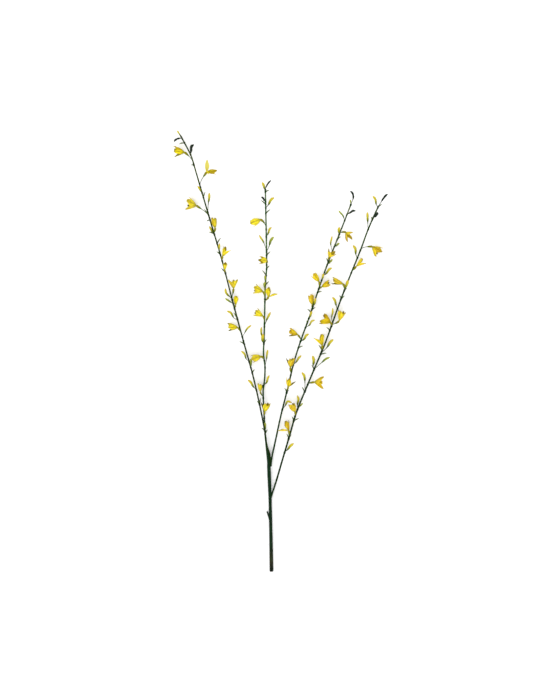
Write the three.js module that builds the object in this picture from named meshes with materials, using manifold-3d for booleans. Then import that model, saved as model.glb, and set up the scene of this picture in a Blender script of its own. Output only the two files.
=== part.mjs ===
// A dried branch of broom in flower, laid flat: a lower stem that parts into four leafy twigs,
// with open pea flowers, slim buds and small leaves. Millimetres, +Z up, +Y towards the twig tips.
// The origin is the middle of the branch's footprint, on the surface that it lies on.
import * as THREE from 'three';
import { mergeVertices } from 'three/addons/utils/BufferGeometryUtils.js';
import Module from 'manifold-3d';

const wasm = await Module();
wasm.setup();

// Driving dimensions
const SEAT_GAP = 0.3; // between a flower and its cup, and between a twig's foot and the stem
const BLADE = 0.85; // thickness of petals and leaves
const WELD = 1e-4; // vertices closer than this are one
const SMALLEST_DETAIL = 0.12; // edges that carry less than this are merged after a join
const CLOSE_ENOUGH = 1e-7; // for a place found along a curve, as a share of its length
const STEM_SIDES = 8;
const FIRST_SIDE = [0.12, 0.05, 1]; // near where a round body's first corner lies; no line runs along it
const TWIG_SIDES = 5; // broom twigs are five-angled
const STALK_SIDES = 5;
const TWIG_STEPS = 21; // rings along a twig
const CUP_LENGTH = 10; // the green cup (calyx) of an open flower
const CUP_RADIUS = 2.1;
const LONGEST_CUP = 0.75; // as a share of the way from the node to the cup's mouth
const STALK_RADIUS = 0.6;
const STALK_BEND = { foot: 0.3, mouth: 0.45 }; // how far it runs straight on at each end, as such a share
const STALK_WIDTHS = [1.2, 1, 1.3]; // at its foot, its middle and the cup, as a share of its radius
const CUP_BELLY = { place: 0.55, width: 0.85 }; // back from the mouth, and as a share of the cup's radius
const BUD_LENGTH = 19;
const BUD_RADIUS = 2.4;
const LONGEST_BUD = 0.8; // as a share of the bud's whole line, so that a stalk shows
const BUD_NECK = 1.1; // the stalk's radius below a bud, as a share of the usual
const BUD_FOOT_LIFT = 0.4; // how much of the tip's height above the twig the foot has
const BUD_BEND = 0.55; // where a bud bows most, as a share of the way from foot to tip
const BUD_PLACES = [0.72, 0.3]; // belly and shoulder, back from the tip as a share of the bud
const BUD_WIDTHS = [0.85, 1, 0.35]; // at the belly, the shoulder and the tip, as a share of its radius
const LEAF_HALF_WIDTH = 1.1;
const LEAF_WIDTHS = [0.45, 1, 0.3]; // at its foot, its middle and its tip, as a share of the half width
const LEAF_BEND = { place: 0.55, along: 0.8 }; // middle of the leaf, and its shift along the twig
const CLAW_LENGTH = 1.4; // the short neck of a flower that stands in its cup
const CLAW_RADIUS = 1.6;
const CLAW_WIDTHS = [0.9, 1, 0.8]; // from its foot up, as a share of its radius
const PETAL_ROOT = 0.8; // radius that the petals start on
const MOST_WRAP = 1.25; // radians that half a petal may wrap round the axis
const PETAL_SHAPE = { ends: 0.42, swell: 0.6, skew: 1.6 }; // its outline, which is widest past the middle

// The petals of each form of flower: place round the axis from the banner, how far they lean out at the
// root and at the tip, length, greatest half width, and how far its edges fold inwards as a share of
// that. Angles are in degrees.
const FLOWER_FORMS = {
  bell: [
    { azimuth: 0, leans: [50, 22], length: 25, halfWidth: 9.6, fold: 0.15, columns: 2, steps: 4 },
    { azimuth: 80, leans: [46, 18], length: 23, halfWidth: 8.8, fold: 0, columns: 1, steps: 3 },
    { azimuth: -80, leans: [46, 18], length: 23, halfWidth: 8.8, fold: 0, columns: 1, steps: 3 },
    { azimuth: 180, leans: [40, 20], length: 22.5, halfWidth: 5.6, fold: 0, columns: 1, steps: 3 },
  ],
  trumpet: [
    { azimuth: 0, leans: [46, 32], length: 19.5, halfWidth: 10.5, fold: 0, columns: 2, steps: 4 },
    { azimuth: 46, leans: [52, 42], length: 24, halfWidth: 8.6, fold: 0.1, columns: 1, steps: 3 },
    { azimuth: -46, leans: [52, 42], length: 24, halfWidth: 8.6, fold: 0.1, columns: 1, steps: 3 },
    { azimuth: 180, leans: [46, 32], length: 19, halfWidth: 7, fold: 0, columns: 1, steps: 3 },
  ],
  plump: [
    { azimuth: 0, leans: [54, -14], length: 23.5, halfWidth: 9, fold: 0, columns: 2, steps: 4 },
    { azimuth: 98, leans: [50, -16], length: 22, halfWidth: 6.8, fold: 0, columns: 1, steps: 3 },
    { azimuth: -98, leans: [50, -16], length: 22, halfWidth: 6.8, fold: 0, columns: 1, steps: 3 },
    { azimuth: 180, leans: [42, -12], length: 21, halfWidth: 5.4, fold: 0, columns: 1, steps: 3 },
  ],
  drooped: [
    { azimuth: 0, leans: [56, -10], length: 24.5, halfWidth: 9.2, fold: 0, columns: 2, steps: 4 },
    { azimuth: 82, leans: [50, -16], length: 22, halfWidth: 6.6, fold: 0, columns: 1, steps: 3 },
    { azimuth: -82, leans: [50, -16], length: 22, halfWidth: 6.6, fold: 0, columns: 1, steps: 3 },
    { azimuth: 180, leans: [62, 30], length: 22.5, halfWidth: 3.8, fold: 0.8, columns: 2, steps: 3 },
  ],
  split: [
    { azimuth: 0, leans: [92, 68], length: 23, halfWidth: 6.4, fold: 0.6, columns: 2, steps: 3 },
    { azimuth: 105, leans: [44, 2], length: 22.5, halfWidth: 6, fold: 0, columns: 1, steps: 3 },
    { azimuth: -105, leans: [44, 2], length: 22.5, halfWidth: 6, fold: 0, columns: 1, steps: 3 },
    { azimuth: 180, leans: [42, 14], length: 22, halfWidth: 4.8, fold: 0, columns: 1, steps: 3 },
  ],
  standing: [
    { azimuth: 0, leans: [84, 62], length: 23, halfWidth: 8.4, fold: 0.15, columns: 2, steps: 3 },
    { azimuth: 100, leans: [58, 40], length: 20, halfWidth: 5.6, fold: 0, columns: 1, steps: 3 },
    { azimuth: -100, leans: [58, 40], length: 20, halfWidth: 5.6, fold: 0, columns: 1, steps: 3 },
    { azimuth: 180, leans: [38, 20], length: 22, halfWidth: 5.2, fold: 0, columns: 1, steps: 3 },
  ],
};

const GREEN = { stem: 0x1d3626, twig: 0x2f5a3a };
const ROUGHNESS = { stem: 0.7, twig: 0.65, petals: 0.55 };
const YELLOW = { a: 0xf2d532, b: 0xf2d532, c: 0xe6b93c, d: 0xe6b93c };

// Lower stem: centre points from the cut end up, each with its radius
const STEM = [
  [-17, -442, 3.3, 3.7],
  [-17.6, -404, 3.2, 3.6],
  [-18.4, -358, 4.4, 3.3],
  [-19.5, -310, 5.8, 3.1],
  [-20, -290, 6.2, 3.3],
  [-20.8, -270, 6.8, 3.4],
  [-21.6, -248, 7.6, 3.7],
  [-22.3, -232, 8.1, 3.6],
  [-23.2, -214, 8.8, 2.4],
];
const KNOTS = [[-16.6, -378, 3.1], [-16, -363, 3.2], [-15.2, -409, 2.9], [-15.8, -393, 2.7]];
const KNOT_SHAPE = { girth: 0.7, stretch: 1.5, inset: 0.35, rise: 0.5, around: 6, rings: 3 };
const STUB = { foot: [-19.5, -340, 5], tip: [-25.8, -321, 6], radius: 1.7, flare: 1.2 };

// Each flower: number, height of its node on the twig, [x, y] of its cup's mouth and the mouth's height
// above the twig, form, heading seen from above, rise from the surface, turn of the banner to the left
// of the heading, how far it is open, and its size. Angles are in degrees.
// Each bud: node, [x, y] of its foot, [x, y] of its tip, height of the tip above the twig, sideways bow
// to the left, and its girth as a share of the usual. Each leaf: node, [x, y] of its tip, height of the
// tip above the twig.
const TWIGS = {
  a: {
    path: [
      [-20.6, -228, 9.0], [-20.4, -208, 10.8], [-26, -190, 12.2], [-29.6, -166, 12.6], [-35, -136, 12.6],
      [-52, -58, 12], [-73, 19, 12], [-96, 104, 12.5], [-116, 181, 12.5], [-137, 252, 12.5],
      [-157, 320, 13], [-171, 368, 14], [-177, 388, 14.5], [-184, 403, 15], [-199.4, 431.4, 16],
    ],
    radii: [1.7, 1.45],
    flowers: [
      [1, 374, [-189.4, 396], 2, 'drooped', 170, 0, -70, 0.7, 1.08],
      [2, 328, [-147.7, 355.8], 3, 'standing', 18, 36, 90, 0.9, 1.1],
      [3, 266, [-165.7, 289.9], -3.6, 'bell', 165, -4, -15, 1.02, 1.08],
      [4, 234, [-129.7, 244], 3, 'plump', 98, 8, 50, 0.6, 1],
      [5, 180, [-115.3, 187], 4, 'split', 70, 12, -80, 0.42, 0.98],
      [6, 155, [-110.2, 160.5], 4, 'plump', 84, 20, 180, 0.6, 0.71],
      [7, 102, [-93, 122.6], 6, 'trumpet', 90, 10, 0, 0.64, 1],
      [8, 84, [-89.5, 90], -2.5, 'plump', 85, -4, 0, 0.5, 0.85],
      [9, 20, [-82.8, 45.4], -1.5, 'drooped', 170, -2, -60, 0.66, 0.98],
    ],
    buds: [
      [428, [-199.4, 431], [-205.6, 440.6], 0, 0, 0.79],
      [424, [-201, 425], [-212, 418], 2, -1.6, 1.07],
      [392, [-177.6, 401], [-172.2, 412.6], 2, 2.5, 1.14],
      [316, [-158.5, 320], [-164.4, 329.8], 4, 0, 0.93],
      [277, [-143.4, 293.8], [-141.4, 316], 5, -0.8, 1],
      [234, [-135, 238], [-141.4, 249.4], -3, 0, 1],
      [197, [-121.5, 202], [-121.2, 215], 4, 0, 1],
      [103, [-99.4, 107.6], [-109.4, 125.2], 3, 3, 1],
      [95, [-99.4, 98.4], [-109.8, 105.2], -4, 0, 1],
      [62, [-92.4, 66.2], [-106.2, 80], 1, -3, 1],
      [28, [-71.4, 34.8], [-57.2, 51.6], 4, 2, 1],
      [-21, [-67.4, -16.2], [-77.8, 0], -2, -2.5, 1.07],
      [-34, [-58, -28], [-59.4, -15.6], 4, -1, 0.93],
      [-77, [-53.6, -71], [-64, -58], 2, -1.5, 1],
    ],
    leaves: [
      [416, [-202.4, 413.4], -2], [371, [-178.5, 372], -3], [307, [-149.4, 318.4], 3],
      [271, [-152.6, 284.6], 3], [262, [-147, 259], 2], [234, [-143, 238], 3], [215, [-118.2, 226.4], -3],
      [193, [-127.4, 199.2], 2], [157, [-118.2, 166.2], -2], [66, [-93, 77], 3], [14, [-81.8, 19.2], 2],
      [-44, [-50.6, -36.6], -2], [-107, [-46.4, -99], 2], [-107, [-38.4, -93], 3],
    ],
  },
  b: {
    path: [
      [-23.5, -230, 7.7], [-25.4, -212, 7.6], [-27.4, -192, 7.6], [-29.6, -170, 8], [-31.6, -132, 9.5],
      [-33.4, -98, 11], [-33.6, -78, 11.5], [-30.8, -56, 12], [-30.2, -30, 12], [-33, -6, 12],
      [-32, 22, 12], [-31, 62, 12], [-30, 110, 12], [-29, 139, 12], [-27, 162, 12.5], [-27, 200, 13],
      [-28, 258, 14], [-29.4, 323.6, 15],
    ],
    radii: [1.7, 1.5],
    flowers: [
      [1, 243, [-37.4, 262.1], 0.8, 'plump', 204, -3, -5, 0.85, 1.06],
      [2, 172, [-26, 179.4], 7.8, 'plump', 176, 25, 0, 1.15, 0.88],
      [3, 103, [-33.1, 117.4], 1.2, 'bell', 163, 0, -15, 0.9, 0.95],
      [4, 98, [-24, 106.5], 8, 'split', 84, 10, -82, 0.85, 0.95],
      [5, 54, [-33, 68.1], 2.5, 'bell', 152, 4, -15, 0.75, 0.9],
      [6, -19, [-36.4, -11.4], 2.4, 'plump', 199, -2, -5, 0.95, 1.02],
      [7, -94, [-39, -83], -1.5, 'drooped', 92, 2, 60, 0.6, 0.76],
      [8, -134, [-30.7, -122.5], 9.5, 'drooped', 78, 14, -60, 0.85, 0.92],
    ],
    buds: [
      [322, [-27.2, 329], [-17.6, 341.2], 2, 1, 0.79],
      [320, [-31, 325.2], [-35.6, 337], 3, -0.5, 1],
      [298, [-31.4, 301], [-37.6, 308], 1, -1.2, 1.07],
      [286, [-23, 292.6], [-11.8, 306.8], 2, 2, 1],
      [228, [-23, 237], [-16.8, 247.6], -3, 1.5, 1],
      [202, [-33.4, 218.4], [-41.8, 231.4], 4, 0, 0.93],
      [198, [-21.8, 209.2], [-12.6, 228.2], 3, 2, 1],
      [137, [-29.2, 141], [-29.8, 151], 4, 0, 0.86],
      [122, [-30.4, 127], [-29.4, 138], 5, 1.5, 1],
      [104, [-30.4, 109], [-30.4, 122.4], 4, 0, 0.93],
      [49, [-26, 63.8], [-19, 77.6], 3, 0, 1],
      [18, [-36.6, 31.8], [-37, 47.8], -3, 1, 0.93],
      [14, [-34.8, 22], [-33.6, 34], 4, 0.5, 1.21],
      [-33, [-26.8, -14], [-24.2, 2.4], -2, 0.5, 1],
      [-69, [-26.4, -62], [-21.2, -48.8], 3, 1, 1],
      [-160, [-29.6, -155], [-30, -143], 3, 0, 0.86],
    ],
    leaves: [
      [317, [-21.4, 321.8], 2], [293, [-38.2, 301.4], -3], [275, [-18.8, 283.2], 2],
      [191, [-18.8, 199.2], -2], [164, [-20.6, 170.8], 3], [151, [-36, 162], -2], [131, [-21.8, 139.6], -2],
      [16, [-26.6, 23.4], 2], [-166, [-24.8, -157], 1], [-160, [-37.2, -154], -2],
    ],
  },
  c: {
    path: [
      [-18.4, -231, 6.6], [-16.2, -212, 7.4], [-11, -188, 9], [2, -128, 11], [15, -76, 12], [28, -22, 12],
      [43, 25, 12], [59, 69, 12], [74, 114, 12], [92, 166, 12.5], [110, 212, 13], [127, 255, 13.5],
      [142.4, 295, 14],
    ],
    radii: [1.75, 1.4],
    flowers: [
      [1, 234, [129.9, 237.6], 4, 'split', -62, 0, 35, 0.85, 0.93],
      [2, 180, [97.2, 185.6], 5.5, 'bell', 62, 25, -60, 0.95, 0.8],
      [3, 125, [78.6, 137.1], 1.5, 'plump', 128, 0, -10, 0.75, 0.94],
      [4, 123, [82.2, 127.6], -1.5, 'plump', 24, 0, 60, 0.72, 0.86],
      [5, 85, [64.8, 90.3], -2.5, 'plump', 103, 2, -30, 0.7, 1],
      [6, 20, [36.8, 31], 0, 'drooped', 158, 0, -65, 0.6, 0.92],
      [7, -48, [20.7, -34.6], 5.5, 'drooped', 84, 10, -60, 0.65, 0.94],
      [8, -82, [16.2, -73], 7.5, 'drooped', 78, 10, 85, 0.95, 0.84],
    ],
    buds: [
      [293, [146.6, 307], [140.4, 320], 3, -2, 0.86],
      [291, [141.6, 296], [140.4, 302.5], 2, 0, 0.64],
      [273, [140.4, 276.6], [151.2, 280], 2, 1.8, 0.86],
      [261, [125.6, 270.8], [116.8, 280.8], 2, 0, 0.86],
      [232, [118, 236], [119, 247.4], 4, 1, 1],
      [199, [101.2, 215.2], [104, 229.6], 4, 0, 0.86],
      [208, [112.4, 210.6], [119.2, 215.6], -2, 0.5, 0.79],
      [172, [98.8, 177], [105, 183.4], -3, 0, 0.79],
      [150, [93, 156], [103.8, 166.2], 2, 1.5, 0.93],
      [141, [84.8, 145], [87, 155], 4, 0, 0.93],
      [89, [68.8, 94], [70.6, 106], 3, -0.5, 1],
      [65, [60.2, 69], [63.4, 79.5], 4, 0, 0.93],
      [47, [59, 52], [70, 62], 2, 2.5, 0.93],
      [19, [48.2, 24], [57.8, 33.8], 2, 2, 0.93],
      [-28, [33.4, -20.6], [42.8, -9], -2, 1, 1],
      [-118, [10.4, -109.4], [23.6, -103.6], 3, 6, 0.86],
    ],
    leaves: [
      [223, [121.4, 229], -2], [177, [92.4, 186.2], -2], [117, [84, 119], 2], [77, [54.2, 84.4], -2],
      [82, [71.2, 87.4], -3], [55, [53.6, 61], 3], [6, [46.6, 10.2], 2], [-82, [8.8, -74], 2],
      [-84, [17.6, -77.5], -3],
    ],
  },
  d: {
    path: [
      [-20.4, -301, 6.4], [-16, -286, 7], [-9, -265, 7.8], [3, -224, 9.4], [18, -173, 11], [33, -122, 12],
      [53, -73, 12], [71, -30, 12], [90, 15, 12], [107, 62, 12], [122, 104, 12], [142, 155, 12],
      [161, 202, 12.5], [175, 240, 13], [186, 266, 13.5], [197.4, 290.6, 14],
    ],
    radii: [1.9, 1.5],
    flowers: [
      [1, 201, [182.9, 209], -2.8, 'bell', -42, -6, 20, 0.9, 0.98],
      [2, 156, [151.4, 167.8], 3, 'split', 50, 5, -80, 0.4, 0.94],
      [3, 120, [127, 132.4], 5, 'drooped', 158, 4, -70, 0.5, 1.08],
      [4, 49, [102.4, 55.2], 3.6, 'bell', 152, 2, 32, 0.95, 1.06],
      [5, 50, [117.1, 59.2], 1.5, 'bell', 72, 8, 20, 0.7, 1],
      [6, -1, [84.5, 9.4], 4.5, 'split', 96, 6, 80, 0.52, 1.08],
      [7, -67, [66.4, -62.4], 6.2, 'trumpet', -4, -2, 0, 0.84, 1.04],
      [8, -131, [30.6, -123], 5.5, 'plump', 114, 10, 20, 0.95, 0.94],
      [9, -176, [17.8, -160.6], 1.5, 'split', 112, 4, 80, 0.8, 0.98],
    ],
    buds: [
      [290, [207, 305.4], [215.4, 314], 1, 0.6, 0.86],
      [287, [192.4, 293], [185.2, 309.8], 2, -2.3, 1.07],
      [266, [189.6, 269], [195.8, 277.2], 1, 0, 1.21],
      [243, [175.4, 257.4], [174.6, 277.4], 3, 0, 1],
      [186, [151.6, 193], [146, 211.4], 2, -2.3, 1],
      [121, [129, 124], [136, 142], 4, -0.8, 1.5],
      [84, [112, 92], [104.8, 107.8], -2, -1.8, 0.93],
      [56, [103.2, 67], [105.4, 86], 3, -0.8, 0.93],
      [-4, [94, 7], [106.8, 23.2], -2, 1.5, 1.07],
      [-37, [66.2, -30.8], [65, -9.4], 2, -2, 1.21],
      [-36, [83.4, -23.2], [99.8, -12.4], 3, 1.5, 0.93],
      [-80, [49.6, -58.4], [43.6, -42.8], 3, -2, 1],
      [-117, [35, -106], [34.8, -89], -3, -2, 1],
      [-112, [40, -110], [45.6, -104.4], 2, 0, 0.71],
      [-203, [14.2, -198.2], [27.6, -184.6], 2, 1, 1],
    ],
    leaves: [
      [288, [204, 293.6], 1], [262, [181.8, 268.5], 2], [121, [134, 126], -3], [103, [129.6, 111], 2],
      [105, [118.8, 111.2], -2], [41, [92.2, 47.6], 2], [1, [76.8, 12.6], -3], [-7, [93.8, -4.2], 2],
      [-37, [62.8, -27.8], -2], [-82, [43.2, -71.4], -2], [-139, [23.4, -130.8], 2],
      [-140, [38.8, -134.4], 2], [-175, [13, -165.2], -2], [-175, [23, -166.8], -2],
    ],
  },
};
const PRESSED_FLAT = ['main_stem', 'flower_a3', 'flower_d1']; // what carries the branch, flat underneath
const GROUND = 1000; // side of the block that is the surface under the whole branch

// Solids

function solidOf(geometry) {
  geometry.deleteAttribute('normal');
  geometry.deleteAttribute('uv');
  const merged = mergeVertices(geometry, WELD);
  const corners = merged.attributes.position.array;
  const triangles = Uint32Array.from(merged.index.array);
  if (signedVolume(corners, triangles) < 0) {
    for (let i = 0; i < triangles.length; i += 3) {
      [triangles[i], triangles[i + 1]] = [triangles[i + 1], triangles[i]];
    }
  }
  return new wasm.Manifold(new wasm.Mesh({ numProp: 3, vertProperties: corners, triVerts: triangles }));
}

function signedVolume(corners, triangles) {
  const [p, q, r] = [new THREE.Vector3(), new THREE.Vector3(), new THREE.Vector3()];
  let volume = 0;
  for (let i = 0; i < triangles.length; i += 3) {
    p.fromArray(corners, 3 * triangles[i]);
    q.fromArray(corners, 3 * triangles[i + 1]);
    r.fromArray(corners, 3 * triangles[i + 2]);
    volume += p.dot(q.cross(r)) / 6;
  }
  return volume;
}

// Joins the pieces and keeps the largest body, so a sealed hollow or a loose scrap is dropped
function fuse(pieces) {
  return largest(wasm.Manifold.union(pieces).asOriginal().simplify(SMALLEST_DETAIL));
}

function largest(solid) {
  return solid.decompose().reduce((best, body) => (body.volume() > best.volume() ? body : best));
}

function geometryOf(solid) {
  const mesh = solid.getMesh();
  const geometry = new THREE.BufferGeometry();
  geometry.setAttribute('position', new THREE.BufferAttribute(Float32Array.from(mesh.vertProperties), 3));
  geometry.setIndex(new THREE.BufferAttribute(Uint32Array.from(mesh.triVerts), 1));
  return geometry;
}

// A closed mesh from rows of corner points: each row joins the next, the first and last are capped
function loft(rows) {
  const sides = rows[0].length;
  const corners = rows.flat().flatMap((point) => point.toArray());
  const triangles = [];
  for (let row = 0; row + 1 < rows.length; row += 1) {
    for (let side = 0; side < sides; side += 1) {
      const [a, b] = [row * sides + side, row * sides + (side + 1) % sides];
      triangles.push(a, b, b + sides, a, b + sides, a + sides);
    }
  }
  const last = (rows.length - 1) * sides;
  for (let side = 1; side + 1 < sides; side += 1) {
    triangles.push(0, side + 1, side);
    triangles.push(last, last + side, last + side + 1);
  }
  const geometry = new THREE.BufferGeometry();
  geometry.setAttribute('position', new THREE.Float32BufferAttribute(corners, 3));
  geometry.setIndex(triangles);
  return geometry;
}

// A round body along a line of centre points, with a radius at each
function rod(centres, radii, sides) {
  let across = vector(FIRST_SIDE);
  const rows = centres.map((centre, i) => {
    const along = centres[Math.min(i + 1, centres.length - 1)].clone();
    along.sub(centres[Math.max(i - 1, 0)]).normalize();
    across = across.addScaledVector(along, -across.dot(along)).normalize();
    const beside = new THREE.Vector3().crossVectors(along, across);
    return Array.from({ length: sides }, (_, side) => {
      const angle = (2 * Math.PI * side) / sides;
      return centre.clone()
        .addScaledVector(across, radii[i] * Math.cos(angle))
        .addScaledVector(beside, radii[i] * Math.sin(angle));
    });
  });
  return solidOf(loft(rows));
}

// A thin blade on a grid of points, split into triangles alike on both faces
function blade(grid) {
  const steps = grid.length - 1;
  const columns = grid[0].length - 1;
  const above = [];
  const below = [];
  for (let i = 0; i <= steps; i += 1) {
    for (let j = 0; j <= columns; j += 1) {
      const along = grid[Math.min(i + 1, steps)][j].clone().sub(grid[Math.max(i - 1, 0)][j]);
      const across = grid[i][Math.min(j + 1, columns)].clone().sub(grid[i][Math.max(j - 1, 0)]);
      const normal = along.cross(across).normalize().multiplyScalar(BLADE / 2);
      above.push(grid[i][j].clone().add(normal));
      below.push(grid[i][j].clone().sub(normal));
    }
  }
  const count = above.length;
  const at = (i, j) => i * (columns + 1) + j;
  const triangles = [];
  const quad = (a, b, c, d) => triangles.push(a, b, c, a, c, d);
  for (let i = 0; i < steps; i += 1) {
    for (let j = 0; j < columns; j += 1) {
      const [a, b, c, d] = [at(i, j), at(i + 1, j), at(i + 1, j + 1), at(i, j + 1)];
      triangles.push(a, b, c, a, c, d);
      triangles.push(count + a, count + c, count + b, count + a, count + d, count + c);
    }
    quad(at(i, 0), count + at(i, 0), count + at(i + 1, 0), at(i + 1, 0));
    quad(at(i + 1, columns), count + at(i + 1, columns), count + at(i, columns), at(i, columns));
  }
  for (let j = 0; j < columns; j += 1) {
    quad(at(0, j + 1), count + at(0, j + 1), count + at(0, j), at(0, j));
    quad(at(steps, j), count + at(steps, j), count + at(steps, j + 1), at(steps, j + 1));
  }
  const geometry = new THREE.BufferGeometry();
  const corners = [...above, ...below].flatMap((point) => point.toArray());
  geometry.setAttribute('position', new THREE.Float32BufferAttribute(corners, 3));
  geometry.setIndex(triangles);
  return solidOf(geometry);
}

// Places along a twig

function vector([x, y, z]) {
  return new THREE.Vector3(x, y, z);
}

function direction(heading, rise) {
  const [turn, lift] = [THREE.MathUtils.degToRad(heading), THREE.MathUtils.degToRad(rise)];
  return new THREE.Vector3(Math.cos(turn) * Math.cos(lift), Math.sin(turn) * Math.cos(lift), Math.sin(lift));
}

// The fraction of a twig's length at which it reaches height y: a twig always climbs
function reach(curve, y) {
  let [low, high] = [0, 1];
  while (high - low > CLOSE_ENOUGH) {
    const middle = (low + high) / 2;
    if (curve.getPointAt(middle).y < y) {
      low = middle;
    } else {
      high = middle;
    }
  }
  return low;
}

function nodeOn(curve, y) {
  const u = reach(curve, y);
  return { point: curve.getPointAt(u), along: curve.getTangentAt(u) };
}

function raised(node, [x, y], lift) {
  return new THREE.Vector3(x, y, node.point.z + lift);
}

// Pieces of a twig

// The stalk leaves its node along the twig and ends in the cup, which leans towards the flower's axis
function stalkAndCup(curve, [, nodeHeight, mouthPlace, lift, , heading, rise, , , size]) {
  const node = nodeOn(curve, nodeHeight);
  const mouth = raised(node, mouthPlace, lift);
  const axis = direction(heading, rise);
  const reachOut = mouth.clone().sub(node.point);
  const span = reachOut.length();
  const lean = reachOut.normalize().multiplyScalar(2).add(axis).normalize();
  const line = new THREE.CubicBezierCurve3(
    node.point,
    node.point.clone().addScaledVector(node.along, span * STALK_BEND.foot),
    mouth.clone().addScaledVector(lean, -span * STALK_BEND.mouth),
    mouth,
  );
  const cup = Math.min(CUP_LENGTH * size, span * LONGEST_CUP) / line.getLength();
  const stations = [0, (1 - cup) / 2, 1 - cup, 1 - cup * CUP_BELLY.place, 1];
  const stalk = STALK_WIDTHS.map((share) => share * STALK_RADIUS);
  const widths = [...stalk, CUP_BELLY.width * CUP_RADIUS * size, CUP_RADIUS * size];
  const centres = stations.map((u) => line.getPointAt(u));
  const cupAxis = mouth.clone().sub(centres[3]).normalize();
  return { solid: rod(centres, widths, STALK_SIDES), mouth, cupAxis, axis };
}

function bud(curve, [nodeHeight, footPlace, tipPlace, lift, bow, girth]) {
  const radius = BUD_RADIUS * girth;
  const node = nodeOn(curve, nodeHeight);
  const foot = raised(node, footPlace, lift * BUD_FOOT_LIFT);
  const tip = raised(node, tipPlace, lift);
  const lean = tip.clone().sub(foot);
  const left = new THREE.Vector3(-lean.y, lean.x, 0).normalize();
  const middle = foot.clone().lerp(tip, BUD_BEND).addScaledVector(left, bow);
  const line = new THREE.CatmullRomCurve3([node.point, foot, middle, tip]);
  const whole = line.getLength();
  const body = Math.min(BUD_LENGTH, whole * LONGEST_BUD) / whole;
  const stations = [0, 1 - body, ...BUD_PLACES.map((place) => 1 - place * body), 1];
  const neck = BUD_NECK * STALK_RADIUS;
  const widths = [neck, neck, ...BUD_WIDTHS.map((share) => share * radius)];
  return rod(stations.map((u) => line.getPointAt(u)), widths, STALK_SIDES);
}

function leaf(curve, [nodeHeight, tipPlace, lift]) {
  const node = nodeOn(curve, nodeHeight);
  const tip = raised(node, tipPlace, lift);
  const lean = tip.clone().sub(node.point);
  const side = new THREE.Vector3(-lean.y, lean.x, 0).normalize();
  const middle = node.point.clone().lerp(tip, LEAF_BEND.place).addScaledVector(node.along, LEAF_BEND.along);
  const halfWidths = LEAF_WIDTHS.map((share) => share * LEAF_HALF_WIDTH);
  const row = (point, i) => [-1, 1].map((edge) => point.clone().addScaledVector(side, edge * halfWidths[i]));
  return blade([node.point, middle, tip].map(row));
}

// Flowers

// Half width along a petal, as a share of its greatest
function petalOutline(t) {
  return PETAL_SHAPE.ends + PETAL_SHAPE.swell * Math.sin(Math.PI * t ** PETAL_SHAPE.skew);
}

// A petal stands on a curve that leans away from the axis, and wraps round it at the root
function petal(root, axis, out, shape, open, size) {
  const beside = new THREE.Vector3().crossVectors(axis, out);
  const [rootLean, tipLean] = shape.leans.map((lean) => THREE.MathUtils.degToRad(lean * open));
  const stride = (shape.length * size) / shape.steps;
  let [height, radius] = [0, PETAL_ROOT * size];
  const grid = [];
  for (let step = 0; step <= shape.steps; step += 1) {
    const halfWidth = shape.halfWidth * size * petalOutline(step / shape.steps);
    const wrap = Math.min(halfWidth / radius, MOST_WRAP);
    const leanHere = THREE.MathUtils.lerp(rootLean, tipLean, step / shape.steps);
    const row = [];
    for (let column = 0; column <= shape.columns; column += 1) {
      const across = 2 * column / shape.columns - 1;
      const angle = wrap * across;
      const folded = shape.fold * halfWidth * across ** 2;
      row.push(root.clone()
        .addScaledVector(axis, height + folded * Math.sin(leanHere))
        .addScaledVector(out, radius * Math.cos(angle) - folded * Math.cos(leanHere))
        .addScaledVector(beside, radius * Math.sin(angle)));
    }
    grid.push(row);
    const lean = THREE.MathUtils.lerp(rootLean, tipLean, (step + 0.5) / shape.steps);
    height += stride * Math.cos(lean);
    radius += stride * Math.sin(lean);
  }
  return blade(grid);
}

function flower(cup, [, , , , form, , , roll, open, size]) {
  const { mouth, cupAxis, axis } = cup;
  const foot = mouth.clone().addScaledVector(cupAxis, SEAT_GAP);
  const bend = foot.clone().addScaledVector(cupAxis, CLAW_LENGTH);
  const neck = bend.clone().addScaledVector(axis, CLAW_LENGTH);
  const claw = rod([foot, bend, neck], CLAW_WIDTHS.map((share) => share * CLAW_RADIUS * size), STALK_SIDES);
  const left = new THREE.Vector3(0, 0, 1).cross(axis).normalize();
  const upward = new THREE.Vector3().crossVectors(axis, left);
  const turn = THREE.MathUtils.degToRad(roll);
  const bannerSide = upward.multiplyScalar(Math.cos(turn)).addScaledVector(left, Math.sin(turn));
  const petals = FLOWER_FORMS[form].map((shape) => {
    const out = bannerSide.clone().applyAxisAngle(axis, THREE.MathUtils.degToRad(shape.azimuth));
    return petal(bend, axis, out, shape, open, size);
  });
  return fuse([claw, ...petals]);
}

// The branch

function curveOf(points) {
  return new THREE.CatmullRomCurve3(points.map(vector));
}

function stemSolid(extra) {
  const centres = STEM.map(vector);
  const ends = [centres[0].clone(), centres[centres.length - 1].clone()];
  ends[0].y -= extra;
  ends[1].y += extra;
  const line = [ends[0], ...centres.slice(1, -1), ends[1]];
  return rod(line, STEM.map(([, , , radius]) => radius + extra), STEM_SIDES);
}

function knot([x, y, radius]) {
  const line = curveOf(STEM);
  const { point } = nodeOn(line, y);
  const bump = new THREE.SphereGeometry(radius * KNOT_SHAPE.girth, KNOT_SHAPE.around, KNOT_SHAPE.rings);
  bump.scale(1, KNOT_SHAPE.stretch, 1);
  bump.translate(x - Math.sign(x - point.x) * radius * KNOT_SHAPE.inset, y, point.z + KNOT_SHAPE.rise);
  return solidOf(bump);
}

function mainStem() {
  const foot = vector(STUB.foot);
  const tip = vector(STUB.tip);
  const stub = rod([foot, tip], [STUB.radius * STUB.flare, STUB.radius], STALK_SIDES);
  return fuse([stemSolid(0), stub, ...KNOTS.map(knot)]);
}

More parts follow.
